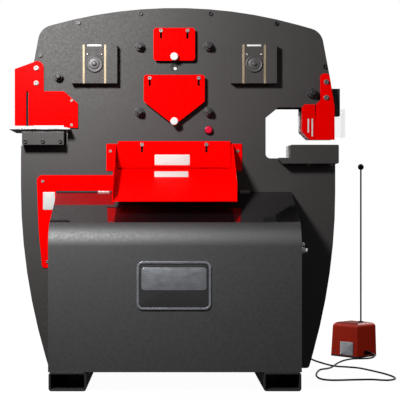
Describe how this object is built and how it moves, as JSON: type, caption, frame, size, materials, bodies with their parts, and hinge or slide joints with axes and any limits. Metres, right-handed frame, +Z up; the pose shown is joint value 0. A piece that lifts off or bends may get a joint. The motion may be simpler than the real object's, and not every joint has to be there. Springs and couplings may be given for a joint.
{
  "type": "hydraulic ironworker",
  "caption": "Upright plate-frame hydraulic ironworker on fork tubes with punch, bar and angle shears, notcher, red guards, sloping power enclosure and a corded foot pedal.",
  "frame": {"origin": "on the floor, in the middle of the four anchor holes of the fork tubes", "axes": "+X to the notching end, +Y away from the operator, +Z up"},
  "size_m": [1.7234, 1.2842, 1.6064],
  "materials": {
    "grey_paint": "glossy fine-textured grey paint",
    "red_paint": "gloss red powder coat",
    "black_paint": "satin black paint",
    "black_screws": "black oxide",
    "bronze": "milled bronze",
    "ground_steel": "ground tool steel",
    "tool_steel": "turned dark steel",
    "bright_steel": "bright zinc and chrome steel",
    "zinc_screws": "dull zinc",
    "clear_plastic": "clear sheet",
    "white_plastic": "white moulded knob",
    "button_red": "red moulded button",
    "filled_case": "painted case with its contents",
    "cast_grey": "painted casting",
    "cast_alloy": "bare alloy casting",
    "pedal_red": "dark red paint",
    "black_rubber": "black rubber"
  },
  "bodies": {
    "frame": {"front_plate": "grey_paint", "rear_plate": "grey_paint", "plate_spacers": "black_paint", "cap_screws": "black_screws", "fork_tube_left": "black_paint", "fork_tube_right": "black_paint", "guide_adjusters": "grey_paint", "guide_pads": "bronze", "slide_keepers": "grey_paint", "gib_strips": "bronze", "fixed_blades": "ground_steel", "notcher_die": "ground_steel", "notcher_table": "grey_paint", "hex_bolts": "bright_steel", "notcher_guard": "red_paint", "notcher_shield": "clear_plastic", "punch_guard": "red_paint", "punch_table": "ground_steel", "die_block": "grey_paint", "punch_die": "ground_steel", "shear_chute": "red_paint", "panel_screws": "zinc_screws", "cover_screws": "zinc_screws", "access_panel": "red_paint", "front_enclosure": "grey_paint", "rear_enclosure": "grey_paint", "base_pans": "black_paint", "oil_tank": "filled_case", "motor": "cast_grey", "pump": "cast_alloy", "valve_block": "cast_alloy", "oil_lines": "bright_steel", "cylinder_barrel": "black_paint", "electrical_box": "filled_case", "button_collar": "black_screws", "couplers": "bright_steel", "cable_glands": "black_rubber", "pedal_base": "black_paint", "pedal_shell": "pedal_red", "pedal_pin": "tool_steel", "pedal_rod": "black_paint", "pedal_cord": "black_rubber"},
    "beam": {"ram_beam": "black_paint", "guide_slides": "grey_paint", "trunnion_pins": "tool_steel", "moving_blades": "ground_steel", "punch_ram": "tool_steel", "punch_nut": "tool_steel", "punch": "ground_steel", "notcher_blade": "ground_steel", "cylinder_rod": "bright_steel", "rod_pin": "tool_steel"},
    "rod_cover": {"rod_shear_cover": "red_paint", "rod_cover_knob": "white_plastic"},
    "angle_cover": {"angle_shear_cover": "red_paint", "angle_cover_knob": "white_plastic"},
    "flap": {"shear_flap": "red_paint"},
    "button": {"stop_button": "button_red"},
    "treadle": {"pedal_treadle": "black_rubber"},
    "drive": {"motor_coupling": "tool_steel"}
  },
  "joints": [
    {"name": "beam_stroke", "type": "slide", "parent": "frame", "child": "beam", "axis": [0, 0, -1], "range_m": [0, 0.03]},
    {"name": "rod_cover_lift", "type": "slide", "parent": "frame", "child": "rod_cover", "axis": [0, 0, 1], "range_m": [0, 0.025]},
    {"name": "angle_cover_lift", "type": "slide", "parent": "frame", "child": "angle_cover", "axis": [0, 0, 1], "range_m": [0, 0.025]},
    {"name": "flap_lift", "type": "slide", "parent": "frame", "child": "flap", "axis": [0, 0, 1], "range_m": [0, 0.025]},
    {"name": "stop_press", "type": "slide", "parent": "frame", "child": "button", "axis": [0, 1, 0], "range_m": [0, 0.005], "stiffness_N_per_m": 1500},
    {"name": "treadle_press", "type": "hinge", "parent": "frame", "child": "treadle", "pos_m": [0.80757, 0.7002, 0.024], "axis": [0.7314, 0.682, 0], "range_deg": [0, 10], "stiffness_Nm_per_rad": 12, "springref_deg": -5.73},
    {"name": "drive_spin", "type": "hinge", "parent": "frame", "child": "drive", "pos_m": [0.15, -0.26, 0.21], "axis": [1, 0, 0], "continuous": true}
  ]
}
